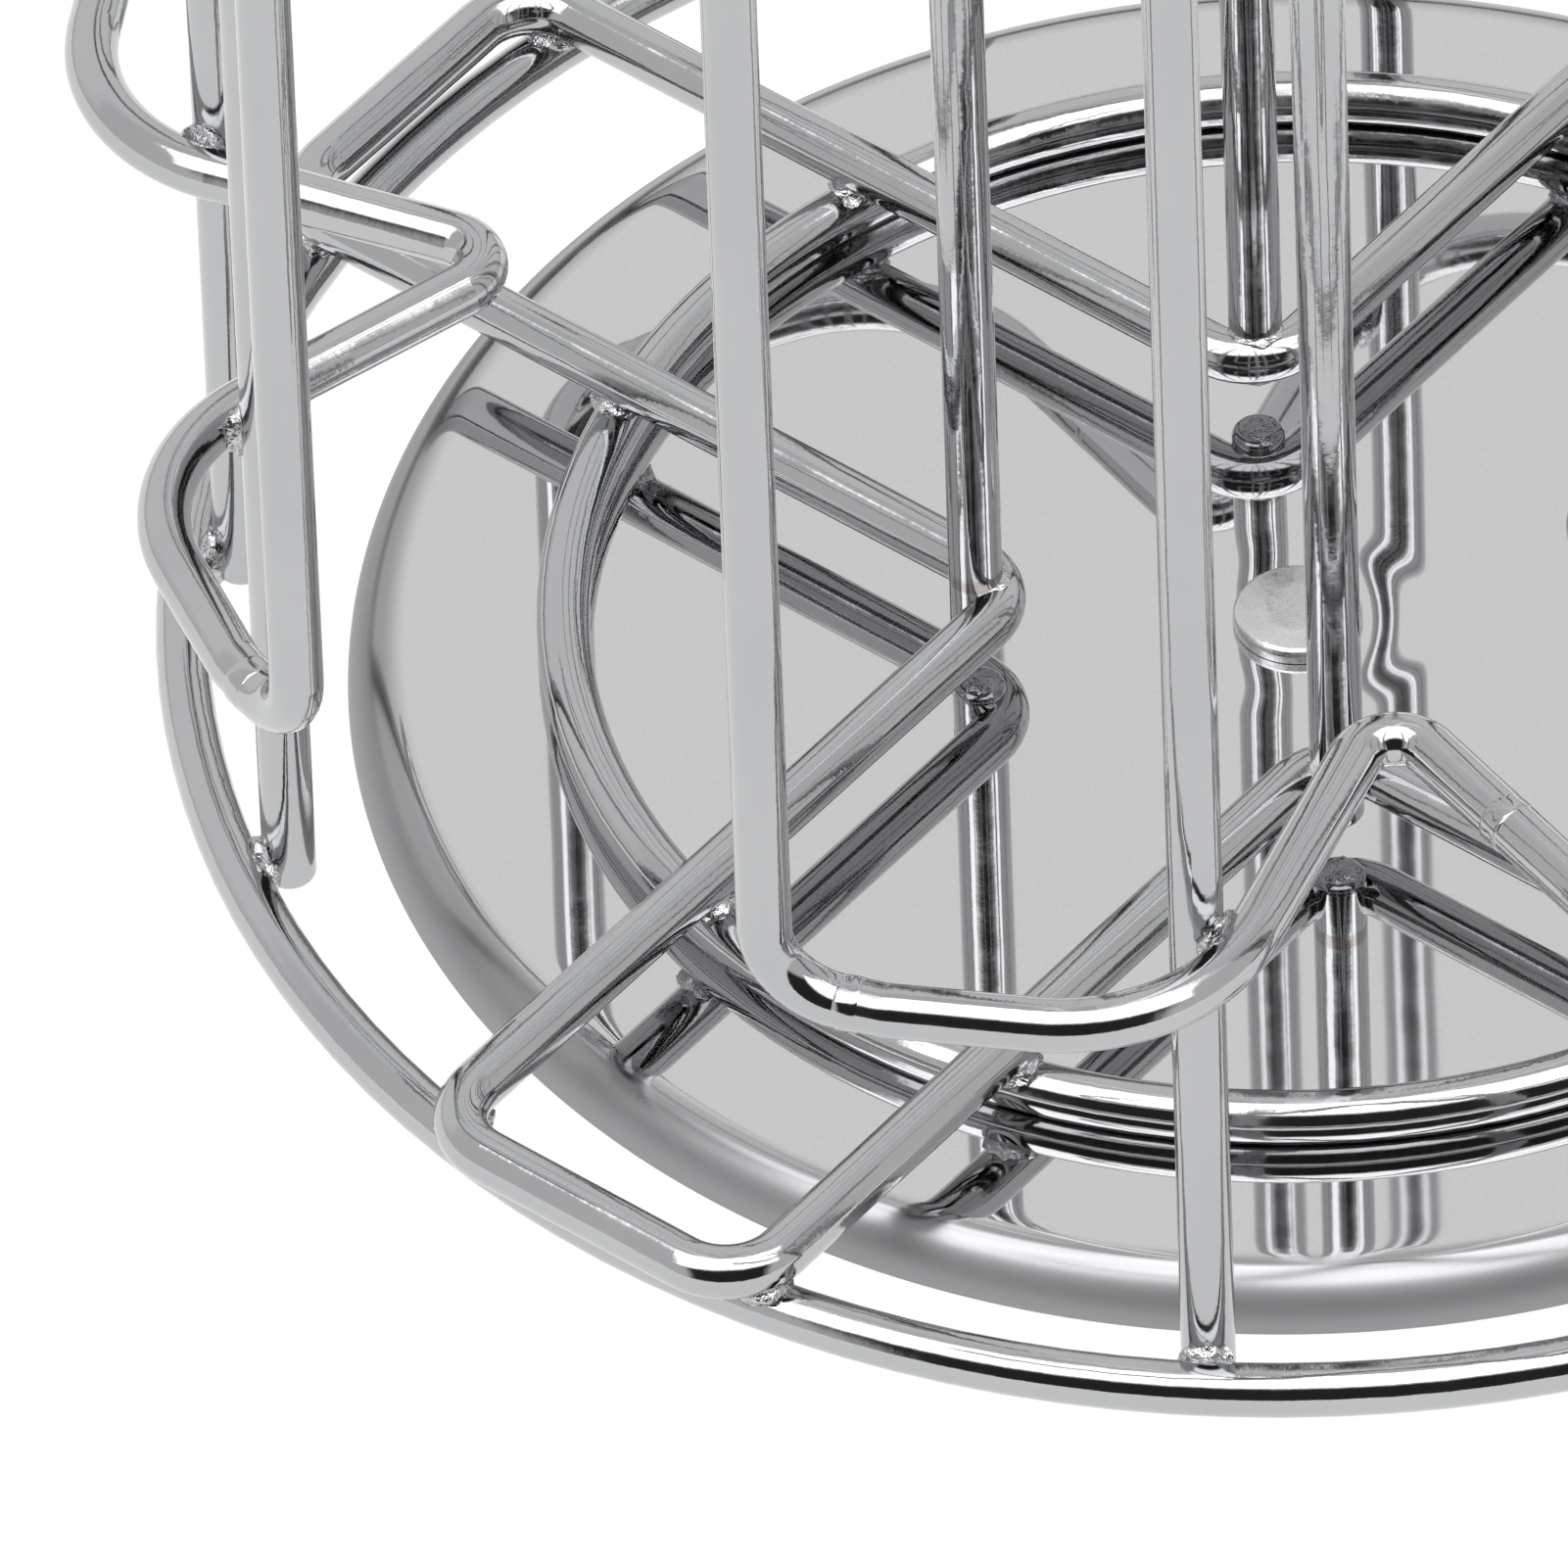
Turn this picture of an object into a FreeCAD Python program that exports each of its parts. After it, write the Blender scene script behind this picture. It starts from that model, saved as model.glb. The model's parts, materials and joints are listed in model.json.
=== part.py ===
"""Revolving four-column wire carousel for round flat drink capsules.

A round pressed platter turns on a ball swivel.  A cage of round wire is welded on top of it: two
rings, a cross that forms the floor of the four columns, four inner posts, eight side rails, eight
front rails, and the loops that tie the front rails together around the gaps between the columns.

Frame: millimetres, +Z up, origin on the table under the centre rivet.  The columns lie on +X, +Y,
-X and -Y, and the gaps between them on the diagonals.
"""
import FreeCAD, Part
import math
import os
import re
import Sketcher

doc = FreeCAD.newDocument("capsule_carousel")

# ---------------------------------------------------------------- driving dimensions
SIZES = {
    # cage wire
    "wire_dia": 3.5,            # every wire of the cage
    "weld_sink": 0.05,          # how far two crossing wires are pressed into each other
    "end_round": 0.6,           # rounding of a cut wire end
    # floor of the cage
    "outer_ring_rad": 72.0,
    "inner_ring_rad": 47.4,
    "arm_half_width": 12.45,    # centreline of a cross rail from the arm's middle
    "arm_reach": 73.8,          # centreline of the chord that closes an arm
    "arm_corner_rad": 4.5,
    "arm_root_rad": 4.2,
    "post_offset": 14.7,        # inner post along both axes from the centre
    "rail_foot_drop": 1.4,      # side rail below the centreline of the outer ring
    # front rails and gap loops
    "front_radial": 77.5,
    "front_tangent": 18.8,
    "front_bend_rad": 5.0,
    "front_turn": 20.0,         # degrees that a front rail's feet turn inwards
    "front_foot": 5.6,          # from the rail's axis to its butt joint with a loop
    "loop_lead": 7.8,           # from the rail's axis to the first bend of a loop
    "loop_lead_rad": 3.0,
    "loop_elbow_out": 65.3,     # second bend, beside the side rail
    "loop_elbow_side": 43.2,
    "loop_elbow_rad": 12.8,
    "loop_vertex": 34.6,
    "loop_vertex_rad": 2.8,
    "window_height": 39.1,      # lower loop above the platter: the dispensing window
    "stack_height": 300.0,      # upper loop above the platter
    # top
    "tie_inner": 7.0,
    "tie_outer": 55.0,
    "hub_ring_rad": 9.5,
    "handle_half": 14.0,
    "handle_rise": 38.0,
    "handle_bend_rad": 12.5,
    # platter
    "platter_rad": 61.5,
    "platter_sheet": 1.0,
    "platter_depth": 3.9,
    "rim_rad": 3.7,             # soft roll from the flat top into the short skirt
    # swivel
    "foot_height": 3.5,
    "foot_rad": 6.0,
    "foot_circle": 40.0,
    "foot_edge_rad": 0.8,
    "base_rad": 50.0,
    "base_sheet": 1.6,
    "base_lip": 1.6,
    "race_circle": 30.0,
    "race_inner": 22.0,
    "race_outer": 38.0,
    "race_sheet": 2.0,
    "groove_depth": 0.9,
    "ball_rad": 2.0,
    "ball_gap": 0.1,
    "retainer_sheet": 1.2,
    "retainer_half_width": 5.0,
    "pocket_rad": 2.2,
    "rivet_shank_rad": 2.5,
    "rivet_head_rad": 4.2,
    "rivet_head_edge": 1.0,
    "rivet_head_dome": 0.2,
    "rivet_head_round": 0.5,
    "rivet_gap": 0.1,
    "rivet_tail_rad": 4.0,
    "rivet_tail": 1.2,
    "washer_rad": 7.0,
    "washer_sheet": 0.8,
    "bush_rad": 5.5,
}
COLUMNS = 4
BALLS = 12
FEET = 4

sheet = doc.addObject("Spreadsheet::Sheet", "Sizes")
for row, (alias, value) in enumerate(SIZES.items(), start=1):
    sheet.set(f"A{row}", alias)
    sheet.set(f"B{row}", str(value))
    sheet.setAlias(f"B{row}", alias)
doc.recompute()


def expr(text):
    """Write a size such as 'wire_dia / 2' as an expression on the sheet."""
    return re.sub("[a-z_]+", lambda word: "Sizes." * (word[0] in SIZES) + word[0], text)


def value(text):
    """The number that a size expression stands for."""
    result = sheet.evalExpression(expr(text))
    return float(getattr(result, "Value", result))


# Heights of the stack, each built on the one below it.
BASE_TOP = "foot_height + base_sheet"
BALL_HEIGHT = f"{BASE_TOP} - groove_depth + ball_gap + ball_rad"
RACE_BOTTOM = f"{BALL_HEIGHT} + ball_rad + ball_gap - groove_depth"
PLATTER_UNDER = f"{RACE_BOTTOM} + race_sheet"
PLATTER_TOP = f"{PLATTER_UNDER} + platter_sheet"
RING_LEVEL = f"{PLATTER_TOP} + wire_dia / 2"
CROSS_LEVEL = f"{RING_LEVEL} + wire_dia - weld_sink"
POST_FOOT = f"{CROSS_LEVEL} + wire_dia / 2 - 2 * weld_sink"
LOWER_LOOP = f"{PLATTER_TOP} + window_height"
UPPER_LOOP = f"{PLATTER_TOP} + stack_height"
TIE_LEVEL = f"{UPPER_LOOP} + wire_dia - weld_sink"

parts = []


def new_body(label):
    body = doc.addObject("PartDesign::Body", label)
    body.Label = label
    parts.append(body)
    return body


def plane(body, role):
    return next(f for f in body.Origin.OriginFeatures if f.Role == role)


def new_sketch(body, role, name):
    sketch = body.newObject("Sketcher::SketchObject", name)
    sketch.AttachmentSupport = [(plane(body, role), "")]
    sketch.MapMode = "FlatFace"
    return sketch


def bind_constraint(sketch, constraint, text):
    index = sketch.addConstraint(constraint)
    sketch.setExpression(f"Constraints[{index}]", expr(text))


def pin_point(sketch, geo, pos, corner):
    """Hold a sketch point at a corner's two coordinates."""
    for kind, axis, text in (("DistanceX", -2, corner[0]), ("DistanceY", -1, corner[1])):
        if abs(value(text)) < 1e-9:
            sketch.addConstraint(Sketcher.Constraint("PointOnObject", geo, pos, axis))
        else:
            bind_constraint(sketch, Sketcher.Constraint(kind, -1, 1, geo, pos, value(text)), text)


def outline(sketch, corners, closed):
    """Straight runs between corners (x, y, bend radius or None), with a tangent arc at each bend."""
    points = [FreeCAD.Vector(value(c[0]), value(c[1]), 0) for c in corners]
    count = len(corners)
    trims = []
    for i, corner in enumerate(corners):
        if corner[2] is None:
            trims.append(0.0)
            continue
        before = points[i] - points[i - 1]
        after = points[(i + 1) % count] - points[i]
        trims.append(value(corner[2]) * math.tan(before.getAngle(after) / 2))
    lines = []
    for i in range(count if closed else count - 1):
        a, b = points[i], points[(i + 1) % count]
        along = FreeCAD.Vector(b - a).normalize()
        start, end = a + along * trims[i], b - along * trims[(i + 1) % count]
        lines.append(sketch.addGeometry(Part.LineSegment(start, end)))
    if not closed:
        pin_point(sketch, lines[0], 1, corners[0])
        pin_point(sketch, lines[-1], 2, corners[-1])
    for i in range(0 if closed else 1, count if closed else count - 1):
        before, after = lines[i - 1], lines[i]
        if corners[i][2] is None:
            sketch.addConstraint(Sketcher.Constraint("Coincident", before, 2, after, 1))
            pin_point(sketch, after, 1, corners[i])
            continue
        add_bend(sketch, before, after, corners[i], points[i])


def add_bend(sketch, before, after, corner, point):
    """A tangent arc between two straight runs whose extensions meet at the corner."""
    radius = value(corner[2])
    entry, leave = sketch.Geometry[before].EndPoint, sketch.Geometry[after].StartPoint
    middle = (entry + leave) * 0.5
    reach = math.hypot(radius, (entry - point).Length)
    centre = point + (middle - point).normalize() * reach
    left_turn = (point - entry).cross(leave - point).z > 0
    first, last = (entry, leave) if left_turn else (leave, entry)
    angles = [math.atan2(p.y - centre.y, p.x - centre.x) for p in (first, last)]
    circle = Part.Circle(centre, FreeCAD.Vector(0, 0, 1), radius)
    arc = sketch.addGeometry(Part.ArcOfCircle(circle, angles[0], angles[1]))
    entry_pos, leave_pos = (1, 2) if left_turn else (2, 1)
    sketch.addConstraint(Sketcher.Constraint("Tangent", before, 2, arc, entry_pos))
    sketch.addConstraint(Sketcher.Constraint("Tangent", arc, leave_pos, after, 1))
    bind_constraint(sketch, Sketcher.Constraint("Radius", arc, radius), corner[2])
    mark = sketch.addGeometry(Part.Point(point), True)
    sketch.addConstraint(Sketcher.Constraint("PointOnObject", mark, 1, before))
    sketch.addConstraint(Sketcher.Constraint("PointOnObject", mark, 1, after))
    pin_point(sketch, mark, 1, corner)


def turned(label, corners):
    """A round piece: a closed half section in the XZ plane, turned about Z."""
    body = new_body(label)
    section = new_sketch(body, "XZ_Plane", "section_" + label)
    outline(section, corners, True)
    solid = body.newObject("PartDesign::Revolution", "turned_" + label)
    solid.Profile = section
    solid.ReferenceAxis = (section, ["V_Axis"])
    solid.Angle = 360
    body.Tip = solid
    return body


def bent_wire(label, role, corners, closed=False):
    """A wire swept along straight runs and bends in one of the body's origin planes."""
    body = new_body(label)
    path = new_sketch(body, role, "path_" + label)
    outline(path, corners, closed)
    doc.recompute()
    section = body.newObject("Sketcher::SketchObject", "section_" + label)
    section.AttachmentSupport = [(path, "Edge1")]
    section.MapMode = "NormalToEdge"
    round_section(section)
    doc.recompute()
    pipe = body.newObject("PartDesign::AdditivePipe", "wire_" + label)
    pipe.Profile = section
    pipe.Spine = (path, [])
    body.Tip = pipe
    return body


def round_section(sketch):
    circle = Part.Circle(FreeCAD.Vector(0, 0, 0), FreeCAD.Vector(0, 0, 1), value("wire_dia / 2"))
    geo = sketch.addGeometry(circle)
    sketch.addConstraint(Sketcher.Constraint("Coincident", geo, 3, -1, 1))
    bind_constraint(sketch, Sketcher.Constraint("Radius", geo, value("wire_dia / 2")), "wire_dia / 2")


def straight_wire(label, length, rounded):
    """A straight wire along its own Z, with cut ends that are rounded over or left square."""
    body = new_body(label)
    section = new_sketch(body, "XY_Plane", "section_" + label)
    round_section(section)
    pad = body.newObject("PartDesign::Pad", "wire_" + label)
    pad.Profile = section
    pad.setExpression("Length", expr(length))
    body.Tip = pad
    if rounded:
        doc.recompute()
        rims = [f"Edge{i}" for i, edge in enumerate(pad.Shape.Edges, start=1)
                if isinstance(edge.Curve, Part.Circle)]
        ends = body.newObject("PartDesign::Fillet", "ends_" + label)
        ends.Base = (pad, rims)
        ends.setExpression("Radius", expr("end_round"))
        body.Tip = ends
    return body


def place(obj, height, turn=0.0, radial=0.0, tangent=0.0, tilt=0.0, spin=0.0):
    """Put a piece at a column: turn about Z, go out and across, then tilt it about its own Y."""
    about_z = FreeCAD.Rotation(FreeCAD.Vector(0, 0, 1), turn)
    local = FreeCAD.Rotation(FreeCAD.Vector(0, 0, 1), spin)
    lean = FreeCAD.Rotation(FreeCAD.Vector(0, 1, 0), tilt)
    base = about_z.multVec(FreeCAD.Vector(radial, tangent, 0)) + FreeCAD.Vector(0, 0, value(height))
    obj.Placement = FreeCAD.Placement(base, about_z * local * lean)


def wire_ring(label, radius, height):
    ring = doc.addObject("Part::Torus", label)
    ring.Label = label
    ring.setExpression("Radius1", expr(radius))
    ring.setExpression("Radius2", expr("wire_dia / 2"))
    place(ring, height)
    parts.append(ring)


def round_copies(label, shape, count, circle, height):
    """Loose copies of one small solid, evenly spaced round the Z axis, kept as one group."""
    copies = []
    for i in range(count):
        copy = shape.copy()
        copy.translate(FreeCAD.Vector(value(circle), 0, value(height)))
        copy.rotate(FreeCAD.Vector(0, 0, 0), FreeCAD.Vector(0, 0, 1), 360.0 * (i + 0.5) / count)
        copies.append(copy)
    group = doc.addObject("Part::Feature", label)
    group.Label = label
    group.Shape = Part.makeCompound(copies)
    parts.append(group)


# ---------------------------------------------------------------- swivel
def groove(level, side):
    """Corner points of a ball groove, cut into a plate's face at race_circle."""
    half = "ball_rad"
    return [(f"race_circle - {half}", level, None),
            (f"race_circle - {half} / 2", f"{level} {side} groove_depth", None),
            (f"race_circle + {half} / 2", f"{level} {side} groove_depth", None),
            (f"race_circle + {half}", level, None)]


def make_swivel():
    pad = Part.makeCylinder(value("foot_rad"), value("foot_height"))
    lower_edges = [e for e in pad.Edges if isinstance(e.Curve, Part.Circle) and e.CenterOfMass.z < 1e-6]
    round_copies("rubber_feet", pad.makeFillet(value("foot_edge_rad"), lower_edges), FEET, "foot_circle", "0")
    make_base_plate()
    turned("rivet_washer", [("rivet_shank_rad", "foot_height - washer_sheet", None),
                            ("washer_rad", "foot_height - washer_sheet", None),
                            ("washer_rad", "foot_height", None),
                            ("rivet_shank_rad", "foot_height", None)])
    turned("centre_bush", [("rivet_shank_rad", BASE_TOP, None),
                           ("bush_rad", BASE_TOP, None),
                           ("bush_rad", f"{PLATTER_UNDER} - rivet_gap", None),
                           ("rivet_shank_rad", f"{PLATTER_UNDER} - rivet_gap", None)])
    make_rivet()
    make_ball_carrier()
    turned("upper_race", [("race_inner", RACE_BOTTOM, None)] + groove(RACE_BOTTOM, "+")
           + [("race_outer", RACE_BOTTOM, None),
              ("race_outer", PLATTER_UNDER, None),
              ("race_inner", PLATTER_UNDER, None)])


def make_base_plate():
    """Foot plate with a turned-up lip and a ball groove in its upper face."""
    turned("base_plate", [("rivet_shank_rad", "foot_height", None),
                          ("base_rad", "foot_height", "base_sheet / 2"),
                          ("base_rad", f"{BASE_TOP} + base_lip", None),
                          ("base_rad - base_sheet / 2", f"{BASE_TOP} + base_lip", None),
                          ("base_rad - base_sheet / 2", BASE_TOP, None)]
           + groove(BASE_TOP, "-")[::-1]
           + [("rivet_shank_rad", BASE_TOP, None)])


def make_rivet():
    """Low round head on top, a shank through the whole stack, and a tail set over the washer."""
    tail_top = "foot_height - washer_sheet"
    head = f"{PLATTER_TOP} + rivet_gap"
    turned("centre_rivet", [("0", f"{tail_top} - rivet_tail", None),
                            ("rivet_tail_rad", f"{tail_top} - rivet_tail", "rivet_tail / 2"),
                            ("rivet_tail_rad", tail_top, None),
                            ("rivet_shank_rad", tail_top, None),
                            ("rivet_shank_rad", head, None),
                            ("rivet_head_rad", head, None),
                            ("rivet_head_rad", f"{head} + rivet_head_edge", "rivet_head_round"),
                            ("rivet_head_rad / 2", f"{head} + rivet_head_edge + rivet_head_dome",
                             "rivet_head_rad"),
                            ("0", f"{head} + rivet_head_edge + rivet_head_dome", None)])


def make_ball_carrier():
    body = turned("ball_retainer",
                  [("race_circle - retainer_half_width", f"{BALL_HEIGHT} - retainer_sheet / 2", None),
                   ("race_circle + retainer_half_width", f"{BALL_HEIGHT} - retainer_sheet / 2", None),
                   ("race_circle + retainer_half_width", f"{BALL_HEIGHT} + retainer_sheet / 2", None),
                   ("race_circle - retainer_half_width", f"{BALL_HEIGHT} + retainer_sheet / 2", None)])
    doc.recompute()
    solid_before = body.Tip.Shape.Volume
    sketch = new_sketch(body, "XY_Plane", "pocket_circle")
    angle = math.pi / BALLS
    centre = FreeCAD.Vector(value("race_circle") * math.cos(angle), value("race_circle") * math.sin(angle), 0)
    hole = sketch.addGeometry(Part.Circle(centre, FreeCAD.Vector(0, 0, 1), value("pocket_rad")))
    spoke = sketch.addGeometry(Part.LineSegment(FreeCAD.Vector(0, 0, 0), centre), True)
    sketch.addConstraint(Sketcher.Constraint("Coincident", spoke, 1, -1, 1))
    sketch.addConstraint(Sketcher.Constraint("Coincident", spoke, 2, hole, 3))
    sketch.addConstraint(Sketcher.Constraint("Angle", -1, 1, spoke, 1, angle))
    bind_constraint(sketch, Sketcher.Constraint("Distance", spoke, value("race_circle")), "race_circle")
    bind_constraint(sketch, Sketcher.Constraint("Radius", hole, value("pocket_rad")), "pocket_rad")
    pocket = body.newObject("PartDesign::Pocket", "ball_pocket")
    pocket.Profile = sketch
    pocket.Type = 1
    pocket.Reversed = True
    pattern = body.newObject("PartDesign::PolarPattern", "ball_pockets")
    pattern.Originals = [pocket]
    pattern.Axis = (sketch, ["N_Axis"])
    pattern.Angle = 360
    pattern.Occurrences = BALLS
    body.Tip = pattern
    doc.recompute()
    removed = solid_before - body.Shape.Volume
    expected = BALLS * math.pi * value("pocket_rad") ** 2 * value("retainer_sheet")
    assert abs(removed - expected) < 0.01 * expected, "the ball pockets are not all cut"
    round_copies("bearing_balls", Part.makeSphere(value("ball_rad")), BALLS, "race_circle", BALL_HEIGHT)


# ---------------------------------------------------------------- platter
def make_platter():
    """Pressed sheet: flat top, softly rolled rim and a short skirt."""
    skirt = f"{PLATTER_TOP} - platter_depth"
    turned("platter", [("rivet_shank_rad + rivet_gap", PLATTER_TOP, None),
                       ("rivet_shank_rad + rivet_gap", PLATTER_UNDER, None),
                       ("platter_rad - platter_sheet", PLATTER_UNDER, "rim_rad - platter_sheet"),
                       ("platter_rad - platter_sheet", skirt, None),
                       ("platter_rad", skirt, None),
                       ("platter_rad", PLATTER_TOP, "rim_rad")])


# ---------------------------------------------------------------- cage
def cross_corners():
    """The floor cross: four arms, each closed by a chord, with rounded corners and roots."""
    corners = []
    arm = [("arm_half_width", "- arm_half_width", "arm_root_rad"),
           ("arm_reach", "- arm_half_width", "arm_corner_rad"),
           ("arm_reach", "arm_half_width", "arm_corner_rad")]
    for _ in range(COLUMNS):
        corners += arm
        arm = [(negated(y), x, radius) for x, y, radius in arm]
    return corners


def negated(text):
    return text[2:] if text.startswith("- ") else "- " + text


def loop_lead(reach):
    """Point at a distance from a front rail's axis, along the turned foot: radial and tangential."""
    return (f"front_radial - {reach} * sin(front_turn * 1deg)",
            f"front_tangent + {reach} * cos(front_turn * 1deg)")


def loop_corners():
    """One gap loop, from the joint of one column round to the joint of the next."""
    half = [(*loop_lead("front_foot"), None),
            (*loop_lead("loop_lead"), "loop_lead_rad"),
            ("loop_elbow_out", "loop_elbow_side", "loop_elbow_rad")]
    vertex = [("loop_vertex", "loop_vertex", "loop_vertex_rad")]
    return half + vertex + [(y, x, radius) for x, y, radius in reversed(half)]


def side_rail_angle():
    """Angle from the column at which a side rail touches both the outer ring and a loop's elbow."""
    lead, elbow, vertex = (FreeCAD.Vector(value(x), value(y), 0) for x, y, _ in loop_corners()[1:4])
    before, after = (lead - elbow).normalize(), (vertex - elbow).normalize()
    bend = value("loop_elbow_rad")
    centre = elbow + (before + after).normalize() * (bend / math.sin(before.getAngle(after) / 2))
    gap = value("wire_dia - weld_sink")
    rail, reach, out = value("outer_ring_rad") - gap, bend - gap, centre.Length
    between = math.acos((rail ** 2 + out ** 2 - reach ** 2) / (2 * rail * out))
    return math.degrees(math.atan2(centre.y, centre.x) + between)


def front_rail_corners():
    """A front rail in its own YZ plane: in from the lower joint, up, and out to the upper joint."""
    rise = "stack_height - window_height"
    return [("front_foot", "0", None),
            ("0", "0", "front_bend_rad"),
            ("0", rise, "front_bend_rad"),
            ("front_foot", rise, None)]


def make_cage():
    wire_ring("inner_ring", "inner_ring_rad", RING_LEVEL)
    wire_ring("outer_ring", "outer_ring_rad", RING_LEVEL)
    place(bent_wire("floor_cross", "XY_Plane", cross_corners(), closed=True), CROSS_LEVEL)
    rail_out = value("outer_ring_rad - wire_dia + weld_sink")
    rail_angle = side_rail_angle()
    rail_foot = f"{RING_LEVEL} - rail_foot_drop"
    rail_length = "stack_height + rail_foot_drop"
    post_length = f"{TIE_LEVEL} - wire_dia / 2 + 2 * weld_sink - ( {POST_FOOT} )"
    front_turn = value("front_turn")
    diagonal = 180.0 / COLUMNS
    for i in range(COLUMNS):
        column = i * 360.0 / COLUMNS
        number = i + 1
        post = straight_wire(f"inner_post_{number}", post_length, rounded=False)
        place(post, POST_FOOT, column, value("post_offset"), value("post_offset"))
        for side, name in ((-1, "right"), (1, "left")):
            rail = straight_wire(f"side_rail_{name}_{number}", rail_length, rounded=True)
            place(rail, rail_foot, column + side * rail_angle, rail_out)
            front = bent_wire(f"front_rail_{name}_{number}", "YZ_Plane", front_rail_corners())
            place(front, LOWER_LOOP, column, value("front_radial"), side * value("front_tangent"),
                  spin=front_turn if side > 0 else 180.0 - front_turn)
        for name, level in (("lower", LOWER_LOOP), ("upper", UPPER_LOOP)):
            place(bent_wire(f"{name}_loop_{number}", "XY_Plane", loop_corners()), level, column)
        tie = straight_wire(f"top_tie_{number}", "tie_outer - tie_inner", rounded=True)
        place(tie, TIE_LEVEL, column + diagonal, value("tie_inner"), tilt=90.0)
    wire_ring("hub_ring", "hub_ring_rad", UPPER_LOOP)


def make_handle():
    """Lifting handle: an upright bow on two opposite top ties."""
    foot = f"{TIE_LEVEL} + wire_dia / 2 - 2 * weld_sink"
    bow = bent_wire("lifting_handle", "XZ_Plane", [("- handle_half", "0", None),
                                                   ("- handle_half", "handle_rise", "handle_bend_rad"),
                                                   ("handle_half", "handle_rise", "handle_bend_rad"),
                                                   ("handle_half", "0", None)])
    place(bow, foot, 180.0 / COLUMNS)


def export_all():
    doc.recompute()
    for obj in doc.Objects:
        if "Invalid" in obj.State or "Error" in obj.State:
            raise RuntimeError(f"{obj.Label} did not recompute: {obj.State}")
    for obj in parts:
        if obj.Shape.isNull() or not obj.Shape.isValid():
            raise RuntimeError(f"{obj.Label} has no valid shape")
    os.makedirs("parts", exist_ok=True)
    for obj in parts:
        obj.Shape.exportStep(f"parts/{obj.Label}.step")
        box = obj.Shape.BoundBox
        print(f"{obj.Label:22s} solids {len(obj.Shape.Solids)} volume {obj.Shape.Volume:9.1f}",
              f"z {box.ZMin:7.2f} to {box.ZMax:7.2f}")


make_swivel()
make_platter()
make_cage()
make_handle()
export_all()
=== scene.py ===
"""Looks of the revolving capsule holder: materials, welds, floor, light and camera.

Metres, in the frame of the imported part: +Z up, origin under the swivel.
"""

import json
import math

import bmesh
import bpy
from mathutils import Matrix, Vector, noise
from mathutils.kdtree import KDTree


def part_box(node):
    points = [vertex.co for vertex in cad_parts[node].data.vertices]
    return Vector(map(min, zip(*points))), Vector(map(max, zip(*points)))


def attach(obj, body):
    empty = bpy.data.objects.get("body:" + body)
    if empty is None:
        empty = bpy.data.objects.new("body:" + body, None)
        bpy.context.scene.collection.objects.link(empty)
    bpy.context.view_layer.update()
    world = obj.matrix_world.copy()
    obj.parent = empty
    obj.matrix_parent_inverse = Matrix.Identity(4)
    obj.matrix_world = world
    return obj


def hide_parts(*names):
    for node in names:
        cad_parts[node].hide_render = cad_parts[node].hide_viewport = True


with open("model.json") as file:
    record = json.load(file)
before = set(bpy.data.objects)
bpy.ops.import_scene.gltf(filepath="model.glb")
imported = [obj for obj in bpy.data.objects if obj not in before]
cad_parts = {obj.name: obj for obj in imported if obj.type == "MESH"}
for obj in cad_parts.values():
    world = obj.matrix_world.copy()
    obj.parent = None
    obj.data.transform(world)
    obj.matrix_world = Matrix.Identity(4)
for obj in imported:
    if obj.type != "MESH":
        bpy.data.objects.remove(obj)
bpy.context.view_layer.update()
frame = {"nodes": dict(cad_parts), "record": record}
scene = bpy.context.scene
nodes = frame["nodes"]
MM = 0.001
UP = Vector((0, 0, 1))

# ---------------------------------------------------------------- places read from the frame
platter_low, platter_high = (Vector(c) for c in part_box("platter"))
PLATTER_TOP, PLATTER_BOTTOM = platter_high.z, platter_low.z
PLATTER_RADIUS = platter_high.x
outer_low, outer_high = (Vector(c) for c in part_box("outer_ring"))
WIRE_RADIUS = (outer_high.z - outer_low.z) / 2
OUTER_RING_RADIUS = outer_high.x - WIRE_RADIUS
RING_LEVEL = outer_low.z + WIRE_RADIUS
INNER_RING_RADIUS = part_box("inner_ring")[1][0] - WIRE_RADIUS
POST_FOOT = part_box("inner_post_1")[0][2]

# Sizes that the part is built with and that no box gives
PLATTER_SHEET = 1.0 * MM
RIM_ROLL = 3.7 * MM
RIVET_HOLE = 2.6 * MM
ARM_HALF_WIDTH = 12.45 * MM
ARM_CORNER = Vector((70.98, 12.13)) * MM      # where an arm's corner lies on the outer ring
LOOP_ARM = Vector((0.963, -0.27, 0.0))        # direction of a gap loop's arm
LOOP_JOINT = Vector((47.3, -38.2, 0.0)) * MM  # the joint that closes the loop, on that arm

# The platter's finer shape: drawn up slightly to the rivet's head, turned down softly before the rim's roll
BOSS_START, BOSS_END = 4.4 * MM, 9.7 * MM
BOSS_RISE = 0.04 * MM
TURN_WIDTH = 1.5 * MM
ROLL_FIRST_TILT = 1.0                         # degrees of tilt where the roll begins
ROLL_CENTRE = PLATTER_RADIUS - RIM_ROLL       # radius at which the roll's own centre lies
ROLL_START = ROLL_CENTRE + RIM_ROLL * math.sin(math.radians(ROLL_FIRST_TILT))

# Weld beads: along the seam, across it, through the contact
RAIL_BEAD = (1.9 * MM, 2.1 * MM, 0.95 * MM)
CROSS_BEAD = (1.9 * MM, 1.9 * MM, 0.8 * MM)
UPPER_FOOT_BEAD = (1.65 * MM, 1.65 * MM, 0.28 * MM)
LOWER_FOOT_BEAD = (1.45 * MM, 1.45 * MM, 0.5 * MM)

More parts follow.
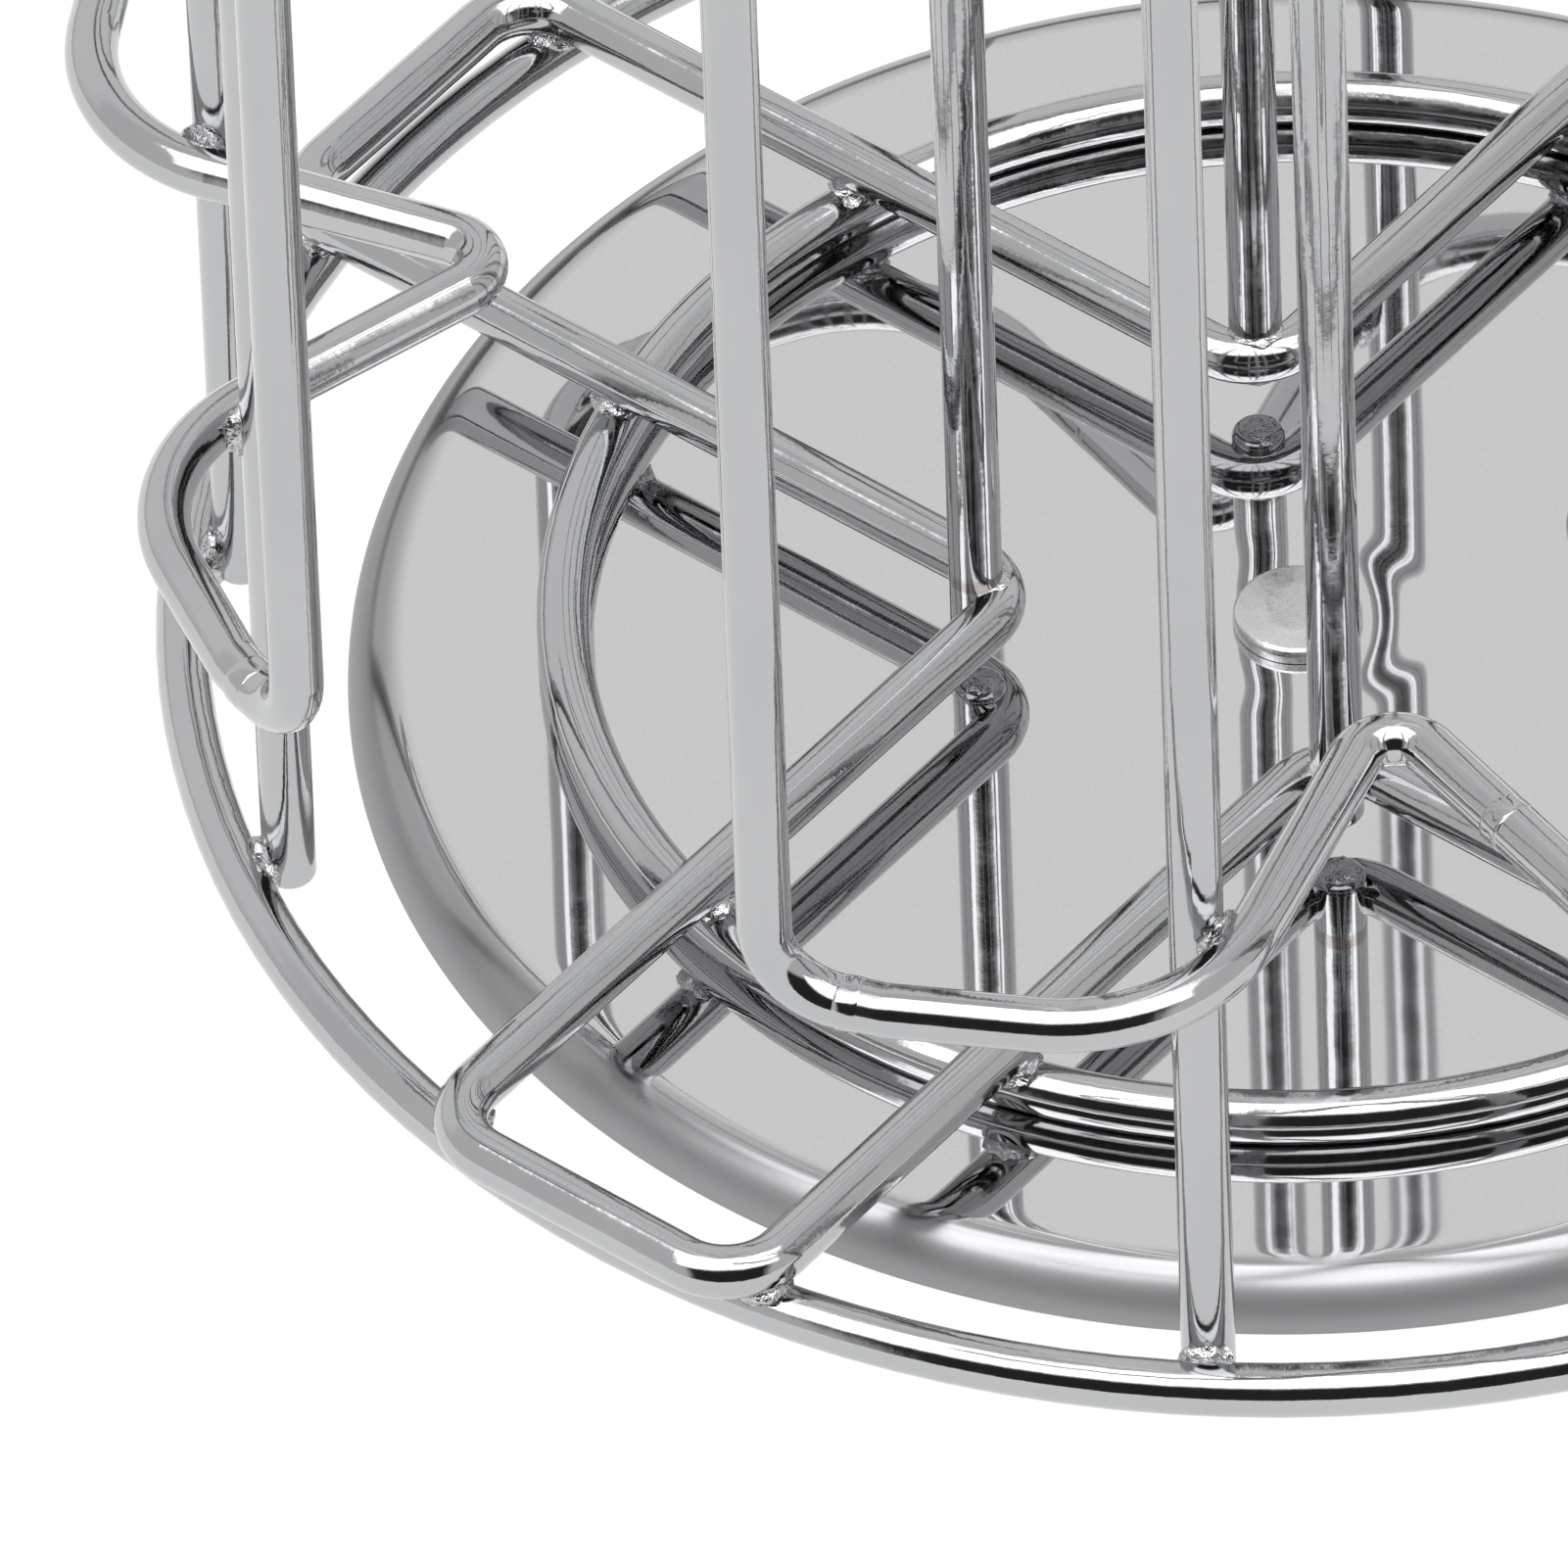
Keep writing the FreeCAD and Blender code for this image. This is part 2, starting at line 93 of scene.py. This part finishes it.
# The squeezed end of a post, and the collar round a joint between two wires
STUB_RADIUS, STUB_EDGE = 1.74 * MM, 0.6 * MM
STUB_LOW, STUB_HIGH = PLATTER_TOP + 2.6 * MM, POST_FOOT + 0.2 * MM
COLLAR_HALF_LENGTH, COLLAR_HEIGHT, COLLAR_SINK = 0.85 * MM, 0.10 * MM, 0.04 * MM
LOOPS_WITH_JOINT = (2, 4)                     # the closing joint shows on these loops of each tier

# ---------------------------------------------------------------- camera angles
CAMERA_AZIMUTH = math.radians(39.78)
CAMERA_ELEVATION = math.radians(44.213)
CAMERA_ROLL = math.radians(-2.198)
CAMERA_DISTANCE = 2.7201
CAMERA_LENS_MM = 970.5
CAMERA_TARGET = Vector((-0.01725, -0.03173, 0.0))     # from the middle of the platter's top

TOWARDS_CAMERA = Vector((math.sin(CAMERA_AZIMUTH), -math.cos(CAMERA_AZIMUTH), 0))
CAMERA_RIGHT = Vector((math.cos(CAMERA_AZIMUTH), math.sin(CAMERA_AZIMUTH), 0))


# ---------------------------------------------------------------- node helpers
NOISE_RANGE = (0.3, 0.7)


class Tree:
    """A short way to write a node tree: each call adds a node and returns the output it is used for."""

    def __init__(self, tree):
        self.tree = tree
        self.tree.nodes.clear()

    def node(self, kind, **settings):
        made = self.tree.nodes.new(kind)
        for name, setting in settings.items():
            setattr(made, name, setting)
        return made

    def feed(self, socket, source):
        if isinstance(source, bpy.types.NodeSocket):
            self.tree.links.new(source, socket)
        elif source is not None:
            socket.default_value = source

    def math(self, operation, a, b=None, c=None):
        made = self.node("ShaderNodeMath", operation=operation)
        for socket, source in zip(made.inputs, (a, b, c)):
            self.feed(socket, source)
        return made.outputs[0]

    def dot(self, vector, constant):
        made = self.node("ShaderNodeVectorMath", operation="DOT_PRODUCT")
        self.feed(made.inputs[0], vector)
        self.feed(made.inputs[1], constant)
        return made.outputs["Value"]

    def smooth(self, x, low, high, to_low=0.0, to_high=1.0):
        made = self.node("ShaderNodeMapRange", interpolation_type="SMOOTHSTEP")
        for socket, source in zip(made.inputs, (x, low, high, to_low, to_high)):
            self.feed(socket, source)
        return made.outputs[0]

    def band(self, x, low, high, soft):
        """1 between low and high, fading to 0 across each of them."""
        rise = self.smooth(x, low - soft, low + soft)
        fall = self.smooth(x, high - soft, high + soft, 1.0, 0.0)
        return self.math("MULTIPLY", rise, fall)

    def noise(self, vector, scale, detail=3.0, roughness=0.5):
        made = self.node("ShaderNodeTexNoise")
        self.feed(made.inputs["Vector"], vector)
        self.feed(made.inputs["Scale"], scale)
        self.feed(made.inputs["Detail"], detail)
        self.feed(made.inputs["Roughness"], roughness)
        return made.outputs["Fac"]

    def from_axis(self, place):
        """Distance of a place from the vertical axis."""
        level = self.node("ShaderNodeVectorMath", operation="MULTIPLY")
        self.feed(level.inputs[0], place)
        self.feed(level.inputs[1], (1.0, 1.0, 0.0))
        made = self.node("ShaderNodeVectorMath", operation="LENGTH")
        self.feed(made.inputs[0], level.outputs[0])
        return made.outputs["Value"]

    def height(self, place):
        made = self.node("ShaderNodeSeparateXYZ")
        self.feed(made.inputs[0], place)
        return made.outputs["Z"]

    def spread(self, pattern, low, high):
        """A value from low to high over the usual range of a noise."""
        return self.smooth(pattern, *NOISE_RANGE, low, high)

    def shade(self, pattern, dark, light, reach=NOISE_RANGE):
        """A colour from dark to light over the usual range of a noise."""
        made = self.node("ShaderNodeValToRGB")
        self.feed(made.inputs[0], pattern)
        for point, position, colour in zip(made.color_ramp.elements, reach, (dark, light)):
            point.position = position
            point.color = (*colour, 1.0)
        return made.outputs["Color"]

    def mix(self, factor, a, b):
        made = self.node("ShaderNodeMix", data_type="RGBA")
        for name, source in (("Factor_Float", factor), ("A_Color", a), ("B_Color", b)):
            socket = next(s for s in made.inputs if s.identifier == name)
            self.feed(socket, source)
        return next(s for s in made.outputs if s.identifier == "Result_Color")

    def bump(self, height, strength, distance, normal=None):
        made = self.node("ShaderNodeBump")
        self.feed(made.inputs["Height"], height)
        self.feed(made.inputs["Strength"], strength)
        self.feed(made.inputs["Distance"], distance)
        self.feed(made.inputs["Normal"], normal)
        return made.outputs["Normal"]


def new_material(name):
    """An empty material, its tree, and the place of each point in metres."""
    material = bpy.data.materials.new(name)
    material.use_nodes = True
    t = Tree(material.node_tree)
    return material, t, t.node("ShaderNodeTexCoord").outputs["Object"]


def close_material(t, **inputs):
    """Adds the shader and the output, with the given shader inputs."""
    shader = t.node("ShaderNodeBsdfPrincipled")
    for name, source in inputs.items():
        t.feed(shader.inputs[name.replace("_", " ")], source)
    out = t.node("ShaderNodeOutputMaterial")
    t.tree.links.new(shader.outputs[0], out.inputs["Surface"])


# ---------------------------------------------------------------- materials
def chrome_surface(t, place):
    """Colour, roughness and normal of chrome plate over drawn wire."""
    normal = t.bump(t.noise(place, 150.0, 2.0), 0.22, 0.4 * MM)
    normal = t.bump(t.noise(place, 1800.0, 2.0), 0.06, 0.1 * MM, normal)
    tint = t.shade(t.noise(place, 60.0, 3.0), (0.455, 0.46, 0.468), (0.49, 0.494, 0.50))
    rough = t.smooth(t.noise(place, 500.0, 3.0), 0.35, 0.75, 0.07, 0.12)
    return tint, rough, normal


def chrome_wire():
    """Bright chrome plate over drawn wire, with soft waviness."""
    material, t, place = new_material("chrome_wire")
    tint, rough, normal = chrome_surface(t, place)
    close_material(t, Base_Color=tint, Metallic=1.0, Roughness=rough, Normal=normal)
    return material


def chrome_post():
    """The same chrome, with the faint brown heat tint of the weld just above a post's foot."""
    material, t, place = new_material("chrome_post")
    tint, rough, normal = chrome_surface(t, place)
    ragged = t.math("MULTIPLY_ADD", t.noise(place, 900.0, 2.0), 0.9 * MM, t.height(place))
    burn = t.band(ragged, POST_FOOT + 0.3 * MM, POST_FOOT + 1.6 * MM, 0.3 * MM)
    brown, strength = (0.17, 0.09, 0.058, 1.0), 0.4
    browned = t.mix(t.math("MULTIPLY", burn, strength), tint, brown)
    close_material(t, Base_Color=browned, Metallic=1.0, Roughness=rough, Normal=normal)
    return material


def weld_chrome():
    """Crinkled weld metal under the plate: sharp little facets that glint."""
    material, t, place = new_material("weld_chrome")
    crinkle = t.noise(place, 1300.0, 3.0, 0.6)
    normal = t.bump(crinkle, 0.5, 0.6 * MM)
    tint = t.shade(crinkle, (0.40, 0.40, 0.41), (0.60, 0.60, 0.61), reach=(0.3, 0.65))
    rough = t.spread(crinkle, 0.08, 0.2)
    close_material(t, Base_Color=tint, Metallic=1.0, Roughness=rough, Normal=normal)
    return material


def platter_steel():
    """Mirror-polished steel sheet, satin over the rim's roll and matt on the skirt, its colour darkened over
    the roll by painted shade.
    """
    material, t, place = new_material("platter_steel")
    out = t.from_axis(place)
    normal = t.bump(t.noise(place, 38.0, 1.0), 0.02, 1.0 * MM)
    tint = t.shade(t.noise(place, 3500.0, 2.0), (0.61, 0.61, 0.62), (0.635, 0.635, 0.64))
    # Painted shade: the colour darkens over the rim's roll, standing in for the shadowed floor under the cage
    # that the rim mirrors.
    painted_rim_shade = t.smooth(out, ROLL_CENTRE - 0.2 * MM, ROLL_CENTRE + 1.5 * MM)
    tint = t.mix(painted_rim_shade, tint, (0.345, 0.34, 0.35, 1.0))
    shine = t.spread(t.noise(place, 30.0, 2.0), 0.015, 0.028)
    satin = t.smooth(out, ROLL_CENTRE + 0.2 * MM, ROLL_CENTRE + 1.8 * MM, 0.0, 0.19)
    matt = t.smooth(t.height(place), PLATTER_TOP - 1.2 * MM, PLATTER_TOP - 0.4 * MM, 0.3, 0.0)
    rough = t.math("ADD", shine, t.math("ADD", satin, matt))
    close_material(t, Base_Color=tint, Metallic=1.0, Roughness=rough, Normal=normal)
    return material


def rivet_steel():
    """Satin rivet head: fine turned and pressed surface."""
    material, t, place = new_material("rivet_steel")
    grit = t.noise(place, 2500.0, 3.0)
    tint = t.shade(t.noise(place, 400.0, 2.0), (0.62, 0.62, 0.63), (0.70, 0.70, 0.705))
    rough, normal = t.spread(grit, 0.22, 0.34), t.bump(grit, 0.12, 0.1 * MM)
    close_material(t, Base_Color=tint, Metallic=1.0, Roughness=rough, Normal=normal)
    return material


def zinc_steel():
    """Zinc-plated steel of the swivel, clouded by its plating."""
    material, t, place = new_material("zinc_steel")
    patches = t.noise(place, 300.0, 4.0)
    tint = t.shade(patches, (0.38, 0.38, 0.39), (0.50, 0.50, 0.49))
    rough, normal = t.spread(patches, 0.25, 0.4), t.bump(patches, 0.15, 0.1 * MM)
    close_material(t, Base_Color=tint, Metallic=1.0, Roughness=rough, Normal=normal)
    return material


def black_paint():
    """Black paint of the base, with a slight orange peel."""
    material, t, place = new_material("black_paint")
    peel = t.noise(place, 900.0, 3.0)
    tint = t.shade(t.noise(place, 90.0, 3.0), (0.018, 0.018, 0.019), (0.032, 0.032, 0.033))
    rough, normal = t.spread(peel, 0.35, 0.5), t.bump(peel, 0.3, 0.1 * MM)
    close_material(t, Base_Color=tint, Roughness=rough, Normal=normal)
    return material


def rubber():
    """Matt speckled rubber of the feet."""
    material, t, place = new_material("rubber")
    speck = t.noise(place, 1500.0, 4.0)
    tint = t.shade(speck, (0.020, 0.020, 0.020), (0.045, 0.044, 0.043))
    rough, normal = t.spread(speck, 0.7, 0.9), t.bump(speck, 0.4, 0.2 * MM)
    close_material(t, Base_Color=tint, Roughness=rough, Normal=normal)
    return material


def nylon():
    """Cloudy cream nylon of the ball retainer."""
    material, t, place = new_material("nylon")
    cloud = t.noise(place, 120.0, 3.0)
    tint = t.shade(cloud, (0.74, 0.73, 0.68), (0.82, 0.81, 0.77))
    rough, normal = t.spread(cloud, 0.4, 0.55), t.bump(t.noise(place, 1200.0, 3.0), 0.2, 0.1 * MM)
    close_material(t, Base_Color=tint, Roughness=rough, Normal=normal)
    return material


def paint_nodes():
    """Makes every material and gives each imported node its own; the result is looked up by slot or look."""
    makers = {"chrome_wire": chrome_wire, "chrome_platter": platter_steel, "swivel_steel": zinc_steel,
              "base_steel": black_paint, "feet_rubber": rubber, "retainer_plastic": nylon,
              "chrome_rivet": rivet_steel}
    made = {slot: maker() for slot, maker in makers.items()}
    made["post"] = chrome_post()
    made["weld"] = weld_chrome()
    for part in frame["record"]["subparts"]:
        mesh = nodes[part["node"]].data
        look = "post" if part["node"].startswith("inner_post") else part["material_slot"]
        mesh.materials.clear()
        mesh.materials.append(made[look])
    return made


materials = paint_nodes()


# ---------------------------------------------------------------- pieces
def finish_piece(name, mesh_data, look):
    """Turn a finished bmesh into a smooth-shaded piece that rides on the carousel."""
    sharp = math.radians(40)
    for edge in mesh_data.edges:
        edge.smooth = len(edge.link_faces) < 2 or edge.calc_face_angle() < sharp
    for face in mesh_data.faces:
        face.smooth = True
    mesh = bpy.data.meshes.new(name)
    mesh_data.to_mesh(mesh)
    mesh_data.free()
    piece = bpy.data.objects.new(name, mesh)
    scene.collection.objects.link(piece)
    mesh.materials.append(materials[look])
    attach(piece, "carousel")
    return piece


def arc(centre, radius, start, stop, steps):
    """Points (radius, height) along an arc, angles in degrees from straight out."""
    angles = [math.radians(start + (stop - start) * i / steps) for i in range(steps + 1)]
    return [(centre[0] + radius * math.cos(a), centre[1] + radius * math.sin(a)) for a in angles]


def lathe(mesh_data, profile, centre, segments):
    """Turn a closed profile of (radius, height) points about a vertical axis."""
    rings = []
    for i in range(segments):
        a = 2 * math.pi * i / segments
        rings.append([mesh_data.verts.new(centre + Vector((r * math.cos(a), r * math.sin(a), z)))
                      for r, z in profile])
    count = len(profile)
    for i in range(segments):
        here, there = rings[i], rings[(i + 1) % segments]
        for j in range(count):
            k = (j + 1) % count
            mesh_data.faces.new((here[j], here[k], there[k], there[j]))
    bmesh.ops.recalc_face_normals(mesh_data, faces=mesh_data.faces)


def platter_slope(r):
    """Slope of the pressed top at a radius: a boss at the rivet, a soft turn to the rim."""
    slope = 0.0
    if BOSS_START < r < BOSS_END:
        width = BOSS_END - BOSS_START
        slope -= 2 * BOSS_RISE / width * math.sin(math.pi * (r - BOSS_START) / width) ** 2
    if r > ROLL_START - TURN_WIDTH:
        turned = 1 - (ROLL_START - r) / TURN_WIDTH
        slope -= math.tan(math.radians(ROLL_FIRST_TILT)) * turned ** 2
    return slope


def pressed_top(radius, height, inner, steps=120):
    """Profile of the platter's top from an inner radius up to the point given, at the start of the roll."""
    step = (radius - inner) / steps
    points = []
    for _ in range(steps):
        height -= platter_slope(radius - step / 2) * step
        radius -= step
        points.insert(0, (radius, height))
    return points


def make_platter():
    """The pressed platter, turned finely enough for its mirror finish."""
    edge = 0.25 * MM
    skirt = PLATTER_RADIUS - PLATTER_SHEET
    roll_level = PLATTER_TOP - RIM_ROLL
    under = PLATTER_TOP - PLATTER_SHEET
    roll = arc((ROLL_CENTRE, roll_level), RIM_ROLL, 90 - ROLL_FIRST_TILT, 0, 40)
    top = pressed_top(*roll[0], RIVET_HOLE + edge)
    lip = top[0][1] - edge
    profile = [(RIVET_HOLE, lip)]
    profile += arc((RIVET_HOLE + edge, lip), edge, 150, 120, 1)
    profile += top + roll
    profile += arc((PLATTER_RADIUS - edge, PLATTER_BOTTOM + edge), edge, 0, -90, 4)
    profile += arc((skirt + edge, PLATTER_BOTTOM + edge), edge, -90, -180, 4)
    profile += arc((ROLL_CENTRE, roll_level), RIM_ROLL - PLATTER_SHEET, 0, 90, 24)
    profile += [(RIVET_HOLE + edge, under), (RIVET_HOLE, under + edge)]
    work = bmesh.new()
    lathe(work, profile, Vector((0, 0, 0)), segments=360)
    piece = finish_piece("platter_pressing", work, "chrome_platter")
    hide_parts("platter")


def add_bead(work, centre, normal, size, seed):
    """One lumpy weld bead of a size along the seam, across it and through the contact."""
    ball = bmesh.ops.create_icosphere(work, subdivisions=3, radius=1.0)["verts"]
    turn = normal.to_track_quat("Z", "Y").to_matrix()
    for vert in ball:
        shift = Vector((seed * 3.1, seed * 1.7, seed * 2.3))
        lump = 0.26 * noise.noise(vert.co * 1.9 + shift) + 0.16 * noise.noise(vert.co * 4.7 + shift)
        spot = vert.co * (1.0 + lump)
        vert.co = centre + turn @ Vector([c * s for c, s in zip(spot, size)])


def node_centre(name):
    low, high = (Vector(c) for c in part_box(name))
    return (low + high) / 2


def nearest_corner(name, spot):
    """The vertex of a node nearest to a place."""
    return min((v.co for v in nodes[name].data.vertices), key=lambda co: (co - spot).length_squared)


def loop_touches(rail):
    """The places where a side rail touches the loops of both tiers, each with its direction from the rail."""
    touches = []
    for name in (f"{tier}_loop_{i}" for tier in ("lower", "upper") for i in range(1, 5)):
        axis = Vector((rail.x, rail.y, node_centre(name).z))
        touch = nearest_corner(name, axis)
        if (touch - axis).length < 2 * WIRE_RADIUS:
            across = Vector((touch.x - axis.x, touch.y - axis.y, 0)).normalized()
            touches.append((axis + across * WIRE_RADIUS, across))
    return touches


def make_rail_welds():
    """Beads where the side rails touch the outer ring and both tiers of loops."""
    work = bmesh.new()
    seed = 0
    for number in range(1, 5):
        for side in ("left", "right"):
            rail = node_centre(f"side_rail_{side}_{number}")
            out = Vector((rail.x, rail.y, 0)).normalized()
            at_ring = out * (OUTER_RING_RADIUS - WIRE_RADIUS) + RING_LEVEL * UP
            for spot, normal in [(at_ring, out)] + loop_touches(rail):
                seed += 1
                add_bead(work, spot, normal, RAIL_BEAD, seed)
    finish_piece("rail_welds", work, "weld")


def make_cross_welds():
    """Beads where the floor cross lies on the two rings."""
    work = bmesh.new()
    seed = 100
    level = RING_LEVEL + WIRE_RADIUS
    inner = Vector((math.sqrt(INNER_RING_RADIUS ** 2 - ARM_HALF_WIDTH ** 2), ARM_HALF_WIDTH))
    for quarter in range(4):
        turn = Matrix.Rotation(quarter * math.pi / 2, 3, "Z")
        for spot in (inner, ARM_CORNER):
            for side in (-1, 1):
                seed += 1
                centre = turn @ Vector((spot.x, side * spot.y, level))
                add_bead(work, centre, UP, CROSS_BEAD, seed)
    finish_piece("cross_welds", work, "weld")


def make_post_feet():
    """The squeezed-down ends of the inner posts beside the cross, with their upset weld metal."""
    stubs, beads = bmesh.new(), bmesh.new()
    tip = 0.01 * MM                           # the profile starts just off the post's axis
    profile = [(tip, STUB_LOW)]
    profile += arc((STUB_RADIUS - STUB_EDGE, STUB_LOW + STUB_EDGE), STUB_EDGE, -90, 0, 8)
    profile += [(STUB_RADIUS, STUB_HIGH), (tip, STUB_HIGH)]
    for number in range(1, 5):
        axis = node_centre(f"inner_post_{number}")
        centre = Vector((axis.x, axis.y, 0))
        inwards = -centre.normalized()
        upper = centre + inwards * 0.6 * MM + (POST_FOOT + 0.05 * MM) * UP
        lower = centre + (STUB_LOW + 0.3 * MM) * UP
        lathe(stubs, profile, centre, segments=48)
        add_bead(beads, upper, UP, UPPER_FOOT_BEAD, 200 + number)
        add_bead(beads, lower, UP, LOWER_FOOT_BEAD, 300 + number)
    finish_piece("post_ends", stubs, "chrome_wire")
    finish_piece("post_welds", beads, "weld")


def add_collar(work, centre, along, seed):
    """The low upset ring that butt welding leaves round a joint between two wires."""
    turn = along.to_track_quat("Z", "Y").to_matrix()
    around, across = 40, 16
    rows = []
    for i in range(around):
        a = 2 * math.pi * i / around
        row = []
        for j in range(across + 1):
            f = math.sin(math.pi * (j / across - 0.5))
            lump = 1 + 0.5 * noise.noise(Vector((math.cos(a) * 2, math.sin(a) * 2, f + seed * 1.3)))
            r = WIRE_RADIUS - COLLAR_SINK + COLLAR_HEIGHT * (1 - f ** 6) * lump
            spot = Vector((r * math.cos(a), r * math.sin(a), f * COLLAR_HALF_LENGTH))
            row.append(work.verts.new(centre + turn @ spot))
        rows.append(row)
    for i in range(around):
        here, there = rows[i], rows[(i + 1) % around]
        for j in range(across):
            work.faces.new((here[j], there[j], there[j + 1], here[j + 1]))


def vertex_tree(node):
    """The corners of a node's mesh, ready for a search by distance."""
    tree = KDTree(len(node.data.vertices))
    for vert in node.data.vertices:
        tree.insert(vert.co, vert.index)
    tree.balance()
    return tree


def shared_face(loop, rail_tree):
    """The middle and the direction of the end face that a loop shares with a front rail, or None."""
    corners = [v.co for v in nodes[loop].data.vertices]
    shared = [co for co in corners if rail_tree.find(co)[2] < 0.15 * MM]
    if len(shared) < 3:
        return None
    centre = sum(shared, Vector()) / len(shared)
    spokes = [co - centre for co in shared if (co - centre).length > 0.6 * WIRE_RADIUS]
    steepest = max(spokes, key=lambda spoke: abs(spoke.z))
    flattest = min(spokes, key=lambda spoke: abs(spoke.z))
    return centre, steepest.cross(flattest).normalized()


def make_butt_welds():
    """Collars where the front rails' feet meet the loops end to end, and where a loop is closed."""
    work = bmesh.new()
    seed = 0
    rail_trees = [vertex_tree(node) for name, node in nodes.items() if name.startswith("front_rail")]
    for tier in ("lower", "upper"):
        for i in range(1, 5):
            loop = f"{tier}_loop_{i}"
            for rail_tree in rail_trees:
                face = shared_face(loop, rail_tree)
                if face:
                    seed += 1
                    add_collar(work, *face, seed)
            if i in LOOPS_WITH_JOINT:
                turn = Matrix.Rotation(i * math.pi / 2, 3, "Z")
                centre = turn @ LOOP_JOINT
                centre.z = node_centre(loop).z
                add_collar(work, centre, turn @ LOOP_ARM, 50 + seed)
    finish_piece("butt_welds", work, "chrome_wire")


make_platter()
make_rail_welds()
make_cross_welds()
make_post_feet()
make_butt_welds()


# ---------------------------------------------------------------- stage
WALL_GLOW, PANEL_GLOW, BEHIND_GLOW, OPENING_LOSS = 0.76, 2.3, 0.16, 0.96
PANEL_FLARE = 0.42                            # the panel widens towards the camera by this much of its tilt


def make_floor():
    """A plain pale table top that glows a little, so that no shadow is left under the cage."""
    bpy.ops.mesh.primitive_circle_add(vertices=96, radius=4.0, fill_type="NGON", location=(0, 0, 0))
    floor = bpy.context.object
    floor.name = "floor"
    material, t, place = new_material("floor")
    glow = t.shade(t.noise(place, 3.0, 2.0), (0.80, 0.80, 0.80), (0.82, 0.82, 0.82))
    close_material(t, Base_Color=(0.06, 0.06, 0.06, 1), Roughness=0.9, Emission_Color=glow,
                   Emission_Strength=1.2)
    floor.data.materials.append(material)


def tent_patch(t, tilt, side, tilts, soft, sides):
    """1 on a patch of the tent: between two tilts, and fading out from one side angle to another."""
    low, high = (math.radians(angle) for angle in tilts)
    near, far = (math.radians(angle) for angle in sides)
    lengthwise = t.band(tilt, low, high, math.radians(soft))
    return t.math("MULTIPLY", lengthwise, t.smooth(side, near, far, 1.0, 0.0))


def make_world():
    """White studio tent: bright panel overhead, dark opening on the camera's side, pale band behind.

    A direction's tilt runs from straight up towards the camera, its side angle away from the camera's plane.
    """
    world = bpy.data.worlds.new("studio")
    scene.world = world
    world.use_nodes = True
    t = Tree(world.node_tree)
    direction = t.node("ShaderNodeTexCoord").outputs["Generated"]
    tilt = t.math("ARCTAN2", t.dot(direction, TOWARDS_CAMERA), t.dot(direction, UP))
    side = t.math("ABSOLUTE", t.math("ARCSINE", t.dot(direction, CAMERA_RIGHT)))
    flared = t.math("SUBTRACT", side, t.math("MULTIPLY", tilt, PANEL_FLARE))
    panel = tent_patch(t, tilt, flared, tilts=(-12, 38), soft=2.5, sides=(29, 34))
    opening = tent_patch(t, tilt, side, tilts=(42.5, 98), soft=3, sides=(34, 46))
    behind = tent_patch(t, tilt, side, tilts=(-78, -33), soft=5, sides=(50, 75))
    walls = t.math("MULTIPLY_ADD", behind, BEHIND_GLOW, WALL_GLOW)
    lit = t.math("MULTIPLY_ADD", panel, PANEL_GLOW, walls)
    darkened = t.math("MULTIPLY_ADD", opening, -OPENING_LOSS, 1.0)
    background = t.node("ShaderNodeBackground")
    background.inputs["Color"].default_value = (1.0, 1.0, 1.0, 1.0)
    t.feed(background.inputs["Strength"], t.math("MULTIPLY", lit, darkened))
    out = t.node("ShaderNodeOutputWorld")
    t.tree.links.new(background.outputs[0], out.inputs["Surface"])


def make_camera():
    """A long lens far away, looking down at the platter."""
    camera = bpy.data.objects.new("camera", bpy.data.cameras.new("camera"))
    scene.collection.objects.link(camera)
    scene.camera = camera
    back = TOWARDS_CAMERA * math.cos(CAMERA_ELEVATION) + math.sin(CAMERA_ELEVATION) * UP
    up = back.cross(CAMERA_RIGHT)
    right = CAMERA_RIGHT * math.cos(CAMERA_ROLL) + up * math.sin(CAMERA_ROLL)
    up = back.cross(right)
    target = CAMERA_TARGET + PLATTER_TOP * UP
    place = Matrix.Identity(4)
    for row in range(3):
        place[row][0], place[row][1], place[row][2] = right[row], up[row], back[row]
        place[row][3] = target[row] + back[row] * CAMERA_DISTANCE
    camera.matrix_world = place
    camera.data.sensor_width = 36.0
    camera.data.lens = CAMERA_LENS_MM
    camera.data.clip_start = 0.1
    camera.data.clip_end = 50.0


make_floor()
make_world()
make_camera()
scene.view_settings.view_transform = "Standard"
